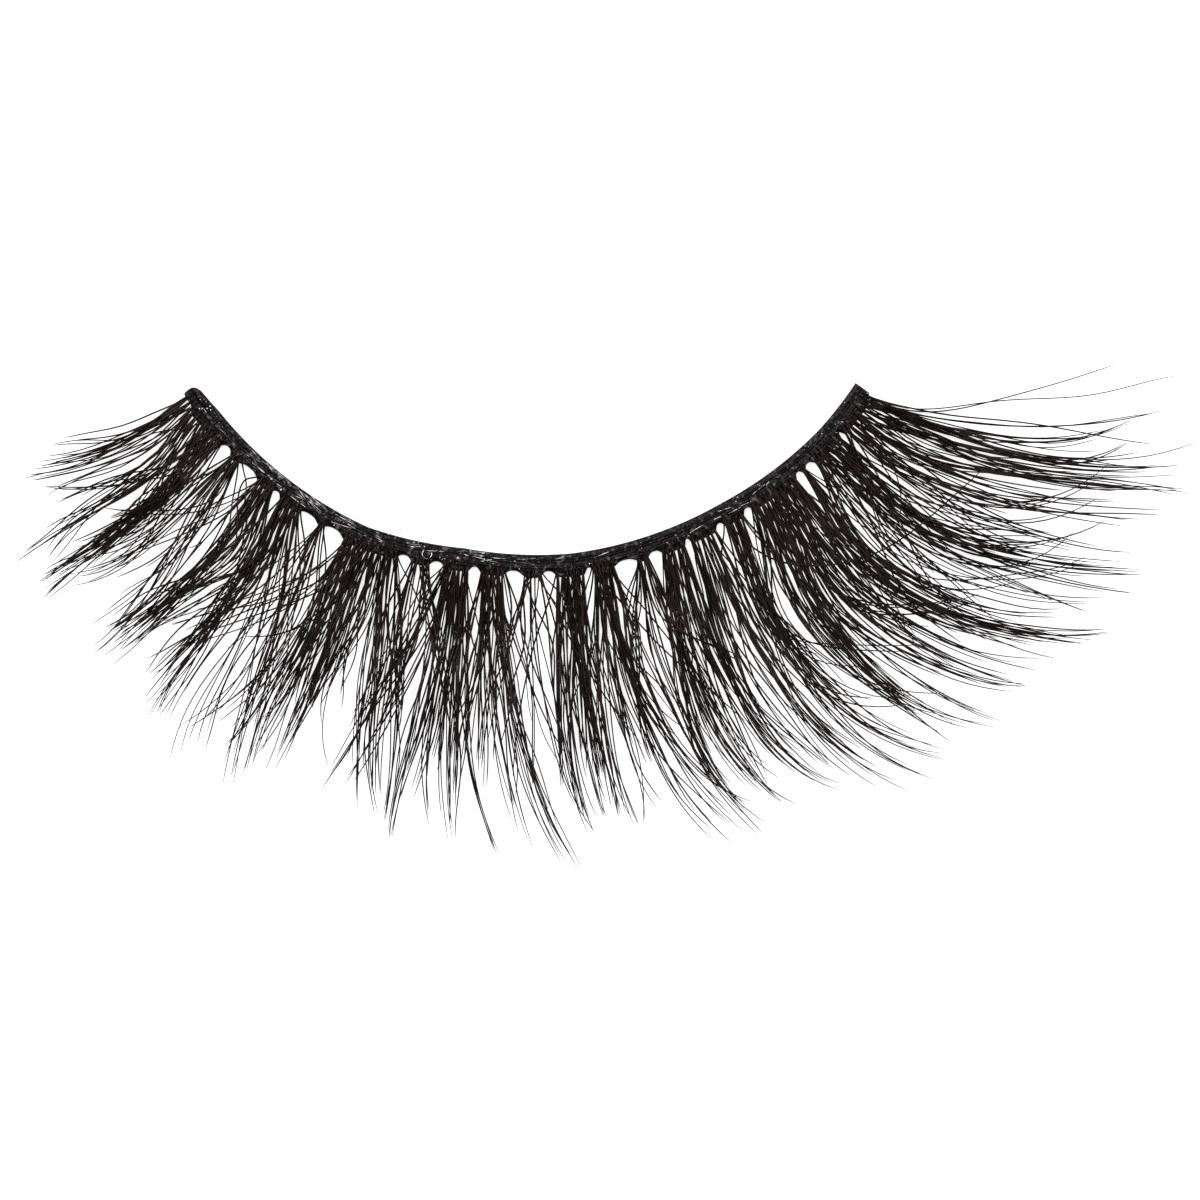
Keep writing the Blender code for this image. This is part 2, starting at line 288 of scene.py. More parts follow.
    (766, (812, 625), (878, 688), (966, 726), 6, 2.5),
    (770, (815, 620), (882, 692), (957, 742), 4, 3.0),
    (772, (820, 610), (880, 680), (950, 728), 6, 4.0),
    (776, (832, 620), (900, 690), (996, 727), 4, 2.5),
    (778, (835, 610), (900, 670), (1003, 721), 4, 2.0),
    (760, (790, 560), (830, 620), (880, 670), 8, 5.0),
    (758, (790, 635), (860, 650), (925, 648), 2, 1.5),
    (745, (780, 635), (820, 657), (870, 662), 2, 1.5),
    (784, (850, 600), (925, 648), (1027, 685), 6, 2.5),
    (782, (840, 600), (925, 662), (1022, 686), 5, 2.5),
    (780, (840, 615), (900, 655), (981, 688), 4, 3.0),
    (786, (860, 590), (935, 638), (1034, 671), 4, 2.5),
    (788, (870, 590), (950, 642), (1037, 662), 3, 2.5),
    (790, (865, 580), (945, 622), (1063, 650), 5, 3.5),
    (790, (880, 580), (960, 618), (1085, 643), 6, 2.0),
    (802, (885, 580), (975, 622), (1107, 631), 5, 2.5),
    (800, (870, 560), (950, 605), (1090, 638), 5, 3.0),
    (804, (880, 555), (945, 594), (1062, 612), 4, 3.0),
    (825, (900, 520), (985, 572), (1082, 612), 4, 2.0),
    (806, (885, 560), (960, 600), (1060, 617), 3, 2.5),
    (818, (890, 530), (975, 580), (1098, 601), 3, 3.0),
    (806, (890, 558), (970, 579), (1083, 555), 2, 2.0),
    (808, (895, 570), (960, 587), (1032, 575), 2, 2.0),
    (792, (850, 598), (905, 606), (1000, 585), 2, 2.0),
    (790, (862, 606), (930, 612), (985, 598), 2, 1.5),
    (822, (900, 530), (985, 567), (1075, 533), 3, 2.0),
    (830, (920, 530), (1000, 549), (1073, 535), 4, 2.0),
    (833, (930, 528), (1010, 546), (1105, 522), 2, 1.5),
    (828, (900, 510), (975, 545), (1140, 570), 6, 3.0),
    (826, (905, 512), (990, 550), (1130, 567), 5, 3.0),
    (822, (890, 505), (1000, 562), (1135, 594), 3, 2.0),
    (820, (900, 528), (1005, 572), (1100, 590), 2, 2.0),
    (829, (900, 490), (985, 530), (1072, 552), 4, 3.5),
    (831, (915, 500), (985, 525), (1048, 539), 5, 3.5),
    (836, (950, 502), (1050, 538), (1140, 548), 2, 2.0),
    (846, (940, 503), (1015, 520), (1103, 492), 2, 1.0),
    (848, (920, 480), (1000, 504), (1115, 457), 2, 1.5),
    (847, (915, 474), (1005, 504), (1108, 466), 2, 1.5),
    (849, (920, 472), (1010, 501), (1156, 515), 3, 2.5),
    (850, (930, 475), (1022, 506), (1123, 523), 3, 2.0),
    (852, (930, 466), (1025, 496), (1144, 501), 3, 2.0),
    (852, (940, 465), (1020, 487), (1108, 497), 2, 2.5),
    (864, (930, 434), (1025, 459), (1177, 465), 7, 2.5),
    (860, (925, 450), (1030, 475), (1172, 494), 6, 2.5),
    (858, (930, 458), (1040, 482), (1187, 494), 4, 2.5),
    (862, (940, 447), (1090, 476), (1183, 474), 3, 2.0),
    (861, (960, 455), (1090, 487), (1162, 482), 2, 2.0),
    (866, (960, 444), (1062, 462), (1192, 443), 2, 1.5),
    (865, (970, 444), (1065, 463), (1127, 442), 2, 1.5),
    (867, (905, 417), (1055, 443), (1132, 422), 4, 1.8),
    (868, (905, 415), (1045, 437), (1128, 428), 2, 2.0),
    (868, (900, 411), (1035, 427), (1160, 412), 2, 1.0),
    (869, (925, 409), (1010, 424), (1150, 445), 1, 0.0),
    (870, (890, 403), (1040, 401), (1173, 377), 1, 0.0),
    (870, (892, 406), (1000, 401), (1112, 366), 1, 0.0),
    (866, (960, 432), (1040, 451), (1142, 449), 2, 2.0),
    (722, (790, 566), (905, 533), (981, 470), 1, 0.0),
    (855, (895, 475), (900, 510), (888, 542), 1, 0.0),
    (840, (865, 490), (900, 548), (925, 588), 1, 0.0),
    (786, (820, 540), (860, 590), (930, 620), 2, 6.0),
    (788, (835, 530), (880, 580), (960, 620), 2, 6.0),
    (792, (850, 530), (900, 580), (985, 643), 2, 6.0),
    (802, (850, 510), (900, 560), (960, 600), 2, 6.0),
    (810, (855, 500), (900, 545), (1000, 585), 2, 6.0),
    (816, (860, 490), (910, 540), (980, 580), 2, 6.0),
    (822, (870, 480), (920, 530), (1000, 560), 3, 5.0),
    (828, (880, 480), (930, 520), (1040, 560), 3, 5.0),
    (846, (895, 470), (950, 510), (1030, 535), 3, 5.0),
    (848, (900, 465), (960, 495), (1050, 510), 3, 4.0),
    (853, (900, 445), (960, 470), (1060, 490), 3, 4.0),
    (858, (905, 430), (970, 455), (1080, 470), 3, 4.0),
    (830, (862, 500), (905, 560), (950, 600), 2, 5.0),
    (834, (870, 500), (915, 560), (975, 610), 2, 5.0),
    (847, (880, 500), (940, 570), (1003, 625), 2, 4.0),
    (812, (840, 510), (880, 570), (915, 640), 2, 5.0),
    (818, (845, 520), (880, 590), (920, 650), 2, 5.0),
    (850, (885, 480), (930, 540), (990, 580), 2, 4.0),
    (752, (758, 545), (763, 575), (780, 612), 1, 0.0),
    (744, (766, 545), (792, 585), (815, 640), 1, 0.0),
    (728, (745, 555), (760, 590), (790, 650), 1, 0.0),
    (718, (722, 560), (740, 600), (775, 655), 1, 0.0),
    (790, (815, 512), (832, 545), (870, 590), 1, 0.0),
    (806, (830, 500), (852, 520), (905, 545), 1, 0.0),
    (536, (522, 598), (508, 630), (498, 690), 1, 0.0),
    (541, (562, 600), (575, 650), (598, 720), 1, 0.0),
    (505, (520, 610), (534, 660), (562, 735), 1, 0.0),
    (548, (535, 610), (528, 660), (532, 720), 1, 0.0),
    (404, (414, 590), (428, 625), (452, 690), 1, 0.0),
    (436, (420, 590), (398, 632), (372, 668), 1, 0.0),
    (446, (424, 595), (398, 650), (380, 700), 1, 0.0),
    (412, (402, 600), (396, 650), (402, 710), 1, 0.0),
    (254, (245, 490), (228, 515), (190, 548), 1, 0.0),
    (250, (246, 485), (244, 505), (232, 540), 1, 0.0),
    (318, (306, 545), (284, 575), (245, 612), 1, 0.0),
    (300, (304, 545), (300, 590), (282, 640), 1, 0.0),
    (343, (334, 560), (306, 590), (262, 622), 1, 0.0),
    (324, (326, 560), (318, 610), (300, 665), 1, 0.0),
    (616, (622, 600), (638, 670), (672, 745), 3, 4.0),
    (626, (632, 600), (650, 665), (690, 730), 3, 4.0),
    (634, (628, 600), (632, 650), (648, 712), 2, 4.0),
    (651, (664, 600), (690, 660), (726, 712), 3, 4.0),
    (676, (688, 590), (712, 650), (752, 705), 4, 4.0),
    (776, (800, 545), (840, 600), (880, 640), 6, 4.0),
    (784, (806, 520), (838, 570), (885, 610), 4, 4.0),
    (590, (586, 600), (590, 650), (604, 705), 3, 4.0),
    (580, (570, 610), (566, 660), (572, 715), 2, 4.0),
    (352, (338, 570), (318, 620), (282, 662), 3, 4.0),
    (300, (286, 560), (262, 610), (224, 648), 1, 4.0),
    (686, (703, 600), (730, 665), (772, 730), 4, 4.0),
    (796, (848, 545), (903, 598), (1000, 632), 5, 4.0),
    (791, (843, 560), (896, 622), (965, 668), 4, 4.0),
)

# Hairs: their radii and how they vary, their mesh, their waves, and how much shorter one may end
HAIR_RADIUS = 0.0393 * MM
HAIR_TIP_RADIUS = 0.009 * MM
HAIR_THICKNESSES = (0.72, 1.15)
ROOT_THICKNESS = 0.85
ROOT_THIN_SHARE = 0.2
TAPER_POWER = 0.29
HAIR_SIDES = 6
HAIR_STEPS = 22
HAIR_SEED = 5
HAIR_WAVE = 0.13 * MM
HAIR_WAVE_TURNS = (0.7, 1.6)
SHORTEST_CUT = 0.24

# How the hairs of a lock part: side by side, as a fan, and as strays
LOCK_SPREAD = 0.7
HAIR_SPREAD = 0.22
PLACE_JITTER = (-0.4, 1.4)
FAN_SHARE = 1.1
STRAY_SHARE = 0.30
STRAY_REACH = 0.45 * MM

# What each bend and the tip take of a hair's lean, fan and stray, and below what its root takes of them:
# place on the hair, lean, fan, stray
BEND_SHARES = (
    (1, 0.9, -1.0, 0.45),
    (2, 1.0, 0.0, 0.05),
    (3, 0.8, 0.7, -0.20),
)
ROOT_LEAN_SHARE = 0.7
ROOT_FAN_SHARE = -1.5

# Roots in the glue: their scatter, places across the band and heights, how much of the height is gone
# at the tip, how they clear a window, and the small stacks that they gather in
ROOT_SPREAD = 0.12 * MM
ROOT_OFFSETS = (0.50, 0.95)
ROOT_HEIGHTS = (0.12 * MM, 0.40 * MM)
HEIGHT_LOSS = 0.6
WINDOW_MARGIN = 1.05
STACK_PITCH = 0.19 * MM
STACK_PULL = 0.85
FIRST_ROOT = -0.012
LAST_ROOT = 0.997

# How high the curl lifts each lock, and each hair in it, as shares of CURL_HEIGHT
LOCK_LIFTS = (0.78, 0.98)
HAIR_LIFTS = (0.92, 1.0)

# The band's cross-section, from under its concave edge, over the top and back under its webs: distance
# from the edge in millimetres, share of the local web's depth added to it, height in millimetres.
# TOP_ROWS are the glue's top
BAND_SECTION = (
    (0.03, 0.00, 0.000),
    (0.00, 0.00, 0.030),
    (0.00, 0.00, 0.280),
    (0.02, 0.00, 0.360),
    (0.06, 0.00, 0.410),
    (0.12, 0.00, 0.435),
    (0.19, 0.00, 0.440),
    (0.26, 0.00, 0.428),
    (0.32, 0.00, 0.400),
    (0.37, 0.00, 0.365),
    (0.41, 0.00, 0.340),
    (0.46, 0.00, 0.348),
    (0.52, 0.05, 0.356),
    (0.58, 0.15, 0.350),
    (0.63, 0.35, 0.334),
    (0.67, 0.60, 0.305),
    (0.70, 0.80, 0.260),
    (0.715, 0.95, 0.190),
    (0.72, 1.00, 0.110),
    (0.72, 1.00, 0.040),
    (0.69, 0.95, 0.000),
    (0.36, 0.30, 0.000),
)
TOP_ROWS = slice(2, 17)

# Slow swells of the glue's height: pace along the band, size as a share of the height
BAND_SWELLS = ((23.0, 0.04), (57.0, 0.03), (131.0, 0.025), (310.0, 0.015))
PHASE_RANGE = (0.0, 6.28)

# The band's mesh, its rounded inner end, and how its webs run in and stop at the windows
BAND_STATIONS = 620
BAND_SEED = 11
END_STATIONS = 12
END_FIRST_STEP = 0.3
END_LENGTH = 0.54 * MM
END_ROUNDING = 0.6
END_POWERS = (2.2, 6.0)
END_HEIGHT = 0.45
WEB_RUN_IN = 0.012
WINDOW_POWER = 3.0

# Filaments in the glue along the band: first and last share, first and last distance from the concave
# edge in millimetres, number
THREADS = (
    (0.02, 0.12, 0.10, 0.60, 12),
    (0.08, 0.22, 0.06, 0.58, 22),
    (0.18, 0.34, 0.05, 0.45, 20),
    (0.28, 0.44, 0.04, 0.40, 20),
    (0.40, 0.52, 0.05, 0.45, 9),
    (0.52, 0.78, 0.05, 0.50, 4),
    (0.76, 0.98, 0.08, 0.60, 4),
)
THREAD_RADIUS = 0.018 * MM
THREAD_THICKNESSES = (0.6, 1.3)
THREAD_STEPS = 26
THREAD_HALVES = (0.006, 0.024)
THREAD_SHARES = (0.002, 0.998)
THREAD_OFFSETS = (0.03 * MM, 0.68 * MM)
THREAD_DRIFT = 0.07 * MM
THREAD_WAVES = (0.004 * MM, 0.014 * MM)
THREAD_PACES = (80.0, 260.0)
THREAD_SINK = 0.012 * MM
THREAD_ARCH = 0.02 * MM

# Pale grains on the glue, dust specks whose paleness also stands in for painted glints, listed in the
# same way as the filaments
GRAINS = (
    (0.00, 0.05, 0.12, 0.85, 26),
    (0.05, 0.30, 0.10, 0.70, 22),
    (0.30, 0.50, 0.05, 0.75, 34),
    (0.50, 0.80, 0.04, 0.60, 20),
    (0.80, 1.00, 0.10, 0.85, 34),
)
GRAIN_RADIUS = 0.022 * MM
GRAIN_SIZES = (0.5, 1.9)
GRAIN_STRETCHES = (0.8, 2.0)
GRAIN_FLATNESS = 0.6

# A grain's corners and its eight faces
GRAIN_CORNERS = ((1, 0, 0), (0, 1, 0), (-1, 0, 0), (0, -1, 0), (0, 0, 1), (0, 0, -1))
GRAIN_FACES = ((0, 1, 4), (1, 2, 4), (2, 3, 4), (3, 0, 4), (1, 0, 5), (2, 1, 5), (3, 2, 5), (0, 3, 5))

# Painted glints: short pale fibres on the glue that stand in for glints of light, with where each starts
# and ends in the photo
GLINTS = (
    (686, 539, 691, 532),
    (691, 532, 703, 525),
    (713, 520, 726, 514),
    (728, 514, 741, 507),
    (741, 506, 752, 501),
    (769, 474, 777, 478),
    (777, 478, 781, 474),
    (204, 409, 207, 413),
    (478, 541, 492, 543),
    (354, 512, 372, 524),
    (392, 524, 408, 533),
    (405, 545, 416, 548),
)
GLINT_RADIUS = 0.013 * MM
GLINT_ARCH = 0.01 * MM
GLINT_TAPER = (0.08, 0.92)

# The bubble in the glue: where it shows in the photo, and the radii of its ring and rim
BUBBLE_PIXEL = (427, 554)
BUBBLE_RADIUS = 0.20 * MM
BUBBLE_RIM = 0.018 * MM
BUBBLE_HEIGHT = 0.35 * MM
BUBBLE_STEPS = 40
BUBBLE_SIDES = 6

# Looks: the colours of each material, its scales of noise, and the ranges of the noise in use
NOISE_DETAIL = 3.0
NOISE_RANGE = (0.3, 0.7)
DARK_SPECULAR = 0.07
HAIR_COLOURS = ((0.0016, 0.0010, 0.0010), (0.008, 0.0044, 0.0038))
# Painted sheen on the hair: a paler colour that the noise mixes in as highlights
HAIR_PAINTED_SHEEN_COLOUR = (0.015, 0.0095, 0.0088)
HAIR_PAINTED_SHEEN_RANGE = (0.55, 0.75)
HAIR_NOISE = 2600.0
HAIR_ROUGHNESS = (0.20, 0.45)
HAIR_SPECULAR_TINT = (1.0, 0.82, 0.79, 1.0)
HAIR_BUMP = 0.25
GLUE_COLOURS = ((0.0012, 0.0008, 0.0009), (0.014, 0.011, 0.012))
# Painted glints on the glue: a pale colour that the mottling noise mixes in
GLUE_PAINTED_GLINT_COLOUR = (0.058, 0.048, 0.052)
GLUE_STREAK_RANGE = (0.52, 0.66)
GLUE_PAINTED_GLINT_RANGE = (0.56, 0.70)
GLUE_STREAKS = 1.6
GLUE_STREAK_STRETCH = 6.0
GLUE_NOISE = 5200.0
GLUE_ROUGHNESS = (0.22, 0.55)
GLUE_BUMP = 1.0
GLUE_BUMP_HEIGHT = 0.06 * MM
THREAD_COLOURS = ((0.03, 0.027, 0.029), (0.52, 0.48, 0.49))
THREAD_SUNK_COLOUR = (0.005, 0.0045, 0.005)
THREAD_SUNK_RANGE = (0.42, 0.6)
THREAD_NOISE = 4000.0
THREAD_ROUGHNESS = (0.3, 0.55)
THREAD_SPECULAR = 0.3
THREAD_BUMP = 0.4
PALE_COLOURS = ((0.10, 0.09, 0.095), (0.75, 0.70, 0.70))
PALE_RANGE = (0.4, 0.62)
PALE_NOISE = 3000.0
PALE_DETAIL = 2.0
PALE_ROUGHNESS = (0.3, 0.5)
PALE_BUMP = 0.3
FINE_BUMP_HEIGHT = 0.01 * MM

# Stage: a large floor just under the strip, with its own white glow
FLOOR_SIZE = 4.0
FLOOR_DROP = 0.02 * MM
FLOOR_COLOUR = (0.28, 0.28, 0.28, 1.0)
FLOOR_ROUGHNESS = 0.9
FLOOR_GLOW = 0.82
WHITE = (1.0, 1.0, 1.0, 1.0)

# Lights: name, place, diameter and power; then the strength of the world's light
LIGHTS = (
    ("key", (-0.22, 0.24, 0.50), 0.20, 6.0),
    ("fill", (0.30, 0.16, 0.45), 0.20, 2.5),
)
WORLD_STRENGTH = 0.25

# Camera: height, sensor width in millimetres, nearest distance
CAMERA_HEIGHT = 1.0
SENSOR_WIDTH = 36.0
CLIP_START = 0.01


def edge_waver(share):
    """How far the concave edge stands outwards, as a share of the band's width."""
    shares, offsets = zip(*EDGE_WAVER)
    return np.interp(share, shares, offsets)


def arc_centre():
    """The centre of the band's arc, from the outer end of the band."""
    low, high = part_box("band")
    end = math.radians(OUTER_END_DEG)
    outermost = EDGE_RADIUS + BAND_WIDTH + WEB_DEPTH
    return np.array((high.x - outermost * math.sin(end), high.y + EDGE_RADIUS * math.cos(end)))


ARC_CENTRE = arc_centre()


def photo_plan(across, down):
    """A pixel of the photo as a place in plan."""
    shift = np.array((across - ARC_CENTRE_PIXEL[0], ARC_CENTRE_PIXEL[1] - down))
    return ARC_CENTRE + shift * PIXEL


def band_point(share, offset):
    """Places in plan at a distance outside the concave edge."""
    angle = np.radians(INNER_END_DEG + share * (OUTER_END_DEG - INNER_END_DEG))
    reach = EDGE_RADIUS + BAND_WIDTH * edge_waver(share) + offset
    x = ARC_CENTRE[0] + np.sin(angle) * reach
    y = ARC_CENTRE[1] - np.cos(angle) * reach
    return np.stack((x, y), axis=-1)


def window_half(opening):
    """Half a window's opening, as a share of the band's length."""
    return 0.5 * WINDOW_WIDTH * opening / ARC_LENGTH


def make_object(name, verts, faces, material, body="root"):
    """A smooth piece that rides on a body and has its finish from a slot."""
    mesh = bpy.data.meshes.new(name)
    mesh.from_pydata([tuple(v) for v in verts], [], faces)
    mesh.update()
    mesh.materials.append(material)
    mesh.shade_smooth()
    piece = bpy.data.objects.new(name, mesh)
    bpy.context.scene.collection.objects.link(piece)
    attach(piece, body)
    return piece


def add_attribute(piece, name, values):
    """A number for each vertex, which the material reads."""
    attribute = piece.data.attributes.new(name, "FLOAT", "POINT")
    attribute.data.foreach_set("value", np.asarray(values, np.float32))


def loft_faces(stations, sides, start=0):
    """Faces of a closed loft whose rings follow each other in the list of vertices."""
    faces = []
    for station in range(stations - 1):
        here = start + station * sides
        there = here + sides
        for number in range(sides):
            following = (number + 1) % sides
            faces.append((here + number, here + following, there + following, there + number))
    last = start + (stations - 1) * sides
    faces.append(tuple(start + number for number in reversed(range(sides))))
    faces.append(tuple(last + number for number in range(sides)))
    return faces


# Hairs as meshes

def hair_tubes(courses, radii):
    """Vertices and faces of closed tubes round their courses."""
    verts, faces = [], []
    turns = 2.0 * math.pi * np.arange(HAIR_SIDES) / HAIR_SIDES
    circle = np.stack((np.cos(turns), np.sin(turns)), axis=-1)
    for course, radius in zip(courses, radii):
        tangent = np.gradient(course, axis=0)
        tangent /= np.linalg.norm(tangent, axis=1)[:, None]
        side = np.cross(tangent, (0.0, 0.0, 1.0))
        side /= np.linalg.norm(side, axis=1)[:, None]
        up = np.cross(side, tangent)
        ring = circle[None, :, 0, None] * side[:, None, :] + circle[None, :, 1, None] * up[:, None, :]
        tube = course[:, None, :] + ring * radius[:, None, None]
        faces.extend(loft_faces(len(course), HAIR_SIDES, len(verts)))
        verts.extend(tube.reshape(-1, 3))
    return verts, faces


def cluster_of(share):
    """The index of the cluster that a root belongs to, by the windows that it is past."""
    return sum(1 for window in ROOT_WINDOWS if share > window[0])


def clear_of_windows(share):
    """A root share, moved out of any window that it falls in."""
    for centre, opening in ROOT_WINDOWS:
        half = window_half(opening)
        if abs(share - centre) < half:
            side = 1.0 if share > centre else -1.0
            return centre + side * half * WINDOW_MARGIN
    return min(max(share, FIRST_ROOT), LAST_ROOT)


def share_across(across):
    """The share along the band of a root, from its pixel across the photo."""
    sine = (across - ARC_CENTRE_PIXEL[0]) * PIXEL / (EDGE_RADIUS + BAND_WIDTH)
    degrees = math.degrees(math.asin(min(sine, math.sin(math.radians(OUTER_END_DEG)))))
    return (degrees - INNER_END_DEG) / (OUTER_END_DEG - INNER_END_DEG)


def unit(vector):
    return vector / np.linalg.norm(vector)


def plan_curve(points, end, steps):
    """The cubic through four points, as far as the given share of its way, that leaves the glue well.

    At the root it is bent to set off half way between straight out of the band and its first bend.
    """
    points = np.array(points)
    spans = np.linalg.norm(np.diff(points, axis=0), axis=1)
    knots = np.concatenate(((0.0,), np.cumsum(spans))) / spans.sum()
    weights = np.linalg.solve(np.vander(knots, increasing=True), points)
    t = np.linspace(0.0, end, steps + 1)
    leaving = unit(unit(points[0] - ARC_CENTRE) + unit(points[1] - points[0]))
    turn = leaving * np.linalg.norm(weights[1]) - weights[1]
    fading = t * np.clip(1.0 - t / knots[1], 0.0, 1.0) ** 2.0
    return np.vander(t, len(points), increasing=True) @ weights + fading[:, None] * turn


def sideways_of(points, number):
    """The unit vector across the way at one of the points."""
    before = points[max(number - 1, 0)]
    after = points[min(number + 1, len(points) - 1)]
    along = unit(after - before)
    return np.array((-along[1], along[0]))


def hair_course(points, end, lift, root_height, chance):
    """A hair from the glue to its tip: its curve in plan with a slight wave, curled up past its belly."""
    plan = plan_curve(points, end, HAIR_STEPS)
    t = np.linspace(0.0, 1.0, HAIR_STEPS + 1)
    length = np.linalg.norm(np.diff(plan, axis=0), axis=1).sum()
    wave_size = chance.normal(0.0, HAIR_WAVE)
    turns = chance.uniform(*HAIR_WAVE_TURNS) * t + chance.random()
    wave = wave_size * np.sin(2.0 * math.pi * turns)
    plan = plan + sideways_of(points, 2) * (wave * 4.0 * t * (1.0 - t))[:, None]
    past = np.clip((t * end - BELLY_SHARE) / (1.0 - BELLY_SHARE), 0.0, 1.0)
    curl = CURL_HEIGHT * min(length / end / LASH_LENGTH, 1.0) * lift * past ** CURL_POWER
    lying = HAIR_RADIUS + (root_height - HAIR_RADIUS) * (1.0 - HEIGHT_LOSS * t)
    return np.column_stack((plan, lying + curl))


def hair_radius(thickness):
    """Radii along a hair: slightly thinner at the root, then tapering to a fine tip."""
    t = np.linspace(0.0, 1.0, HAIR_STEPS + 1)
    body = ROOT_THICKNESS + (1.0 - ROOT_THICKNESS) * np.minimum(t / ROOT_THIN_SHARE, 1.0)
    taper = np.clip(1.0 - t, 0.0, 1.0) ** TAPER_POWER
    return HAIR_TIP_RADIUS + (HAIR_RADIUS * thickness - HAIR_TIP_RADIUS) * body * taper


def plan_hairs(chance):
    """What each hair follows: root share, bends and tip, lift, lean, fan, stray, looseness."""
    plans = []
    for across, first, second, tip, count, looseness in LOCKS:
        centre = share_across(across)
        bends = [photo_plan(*first), photo_plan(*second), photo_plan(*tip)]
        lift = chance.uniform(*LOCK_LIFTS)
        spread = looseness * (LOCK_SPREAD + HAIR_SPREAD * count) * PIXEL
        for number in range(count):
            lean = spread * (2.0 * (number + chance.uniform(*PLACE_JITTER)) / count - 1.0)
            fan = chance.normal(0.0, FAN_SHARE * looseness * PIXEL)
            strays = looseness > 0.0 and chance.random() < STRAY_SHARE
            stray = chance.normal(0.0, STRAY_REACH) if strays else 0.0
            root_shift = ROOT_LEAN_SHARE * lean + ROOT_FAN_SHARE * fan + stray
            root_shift += chance.normal(0.0, ROOT_SPREAD)
            root_share = clear_of_windows(centre + root_shift / ARC_LENGTH)
            plans.append([root_share, bends, lift, lean, fan, stray, looseness])
    return plans


def stack_roots(plans):
    """Draws the roots of each cluster together into an even row of small stacks."""
    for index in range(len(ROOT_WINDOWS) + 1):
        members = [plan for plan in plans if cluster_of(plan[0]) == index]
        members.sort(key=lambda plan: plan[0])
        low, high = members[0][0], members[-1][0]
        stacks = max(round((high - low) * ARC_LENGTH / STACK_PITCH), 1)
        for rank, plan in enumerate(members):
            stack = rank * stacks // len(members)
            place = low + (high - low) * (stack + 0.5) / stacks
            plan[0] += STACK_PULL * (place - plan[0])


def grow_hairs():
    """All hairs: root share, course, radii and tone."""
    chance = np.random.default_rng(HAIR_SEED)
    plans = plan_hairs(chance)
    stack_roots(plans)
    hairs = []
    for root_share, bends, lift, lean, fan, stray, looseness in plans:
        root = band_point(root_share, BAND_WIDTH * chance.uniform(*ROOT_OFFSETS))
        points = [root] + bends
        moved = [root]
        for place, lean_share, fan_share, stray_share in BEND_SHARES:
            shift = lean_share * lean + fan_share * fan + stray_share * stray
            moved.append(points[place] + sideways_of(points, place) * shift)
        end = 1.0 - SHORTEST_CUT * chance.random() ** 2.0 if looseness > 0.0 else 1.0
        root_height = chance.uniform(*ROOT_HEIGHTS)
        course = hair_course(moved, end, lift * chance.uniform(*HAIR_LIFTS), root_height, chance)
        radii = hair_radius(chance.uniform(*HAIR_THICKNESSES))
        hairs.append((root_share, course, radii, chance.random()))
    return hairs


def build_lashes(material):
    """The hairs, as one piece for each solid cluster."""
    hairs = grow_hairs()
    for index in range(len(ROOT_WINDOWS) + 1):
        members = [hair for hair in hairs if cluster_of(hair[0]) == index]
        _, courses, radii, tones = zip(*members)
        verts, faces = hair_tubes(courses, radii)
        piece = make_object(f"lashes_{index + 1:02d}", verts, faces, material)
        add_attribute(piece, "tone", np.repeat(tones, (HAIR_STEPS + 1) * HAIR_SIDES))
        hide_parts(f"lash_cluster_{index + 1:02d}")


# The band

def outer_offset(share):
    """How far the glue reaches from the concave edge: the band, plus webs between the windows."""
    window = 0.0
    for centre, opening in ROOT_WINDOWS:
        away = np.abs((share - centre) / window_half(opening))
        window = np.maximum(window, np.exp(-away ** WINDOW_POWER))
    ends = np.clip(np.minimum(share, 1.0 - share) / WEB_RUN_IN, 0.0, 1.0)
    return BAND_WIDTH + WEB_DEPTH * ends * (1.0 - window)


def band_swells(chance):
    """The glue's slow swells, each with a phase by chance: pace, size, phase."""
    return [(pace, size, chance.uniform(*PHASE_RANGE)) for pace, size in BAND_SWELLS]


def band_ring(share, swells):
    """One cross-section of the band: offsets from the concave edge and heights."""
    web = outer_offset(share) - BAND_WIDTH
    offsets = np.array([row[0] * MM + row[1] * web for row in BAND_SECTION])
    heights = np.array([row[2] * MM for row in BAND_SECTION])
    swell = sum(size * math.sin(pace * share + phase) for pace, size, phase in swells)
    return offsets, heights * (1.0 + swell)


def add_station(verts, places, share, offsets, heights):
    """Adds one cross-section's vertices, and their places along and across the band."""
    verts.extend(np.column_stack((band_point(share, offsets), heights)))
    places.extend((share * ARC_LENGTH, offset) for offset in offsets)


def band_surface():
    """The band's closed surface, and each vertex's place along and across it."""
    swells = band_swells(np.random.default_rng(BAND_SEED))
    verts, places = [], []
    first_offsets, first_heights = band_ring(0.0, swells)
    middle = 0.5 * first_offsets.max()
    for step in range(END_STATIONS):
        reach = math.cos(0.5 * math.pi * (step + END_FIRST_STEP) / END_STATIONS) ** END_ROUNDING
        near, far = ((1.0 - reach ** power) ** (1.0 / power) for power in END_POWERS)
        width = np.where(first_offsets < middle, near, far)
        offsets = middle + (first_offsets - middle) * width
        heights = first_heights * (END_HEIGHT + (1.0 - END_HEIGHT) * near)
        add_station(verts, places, -reach * END_LENGTH / ARC_LENGTH, offsets, heights)
    for step in range(BAND_STATIONS + 1):
        share = step / BAND_STATIONS
        add_station(verts, places, share, *band_ring(share, swells))
    return verts, loft_faces(END_STATIONS + BAND_STATIONS + 1, len(BAND_SECTION)), places


def build_band(material):
    verts, faces, places = band_surface()
    piece = make_object("band_strip", verts, faces, material)
    add_attribute(piece, "along", [place[0] for place in places])
    add_attribute(piece, "across", [place[1] for place in places])
    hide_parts("band")


def glue_height(offset):
    """The height of the glue's top over the band, at a distance from its concave edge."""
    top = BAND_SECTION[TOP_ROWS]
    return np.interp(offset, [row[0] * MM for row in top], [row[2] * MM for row in top])


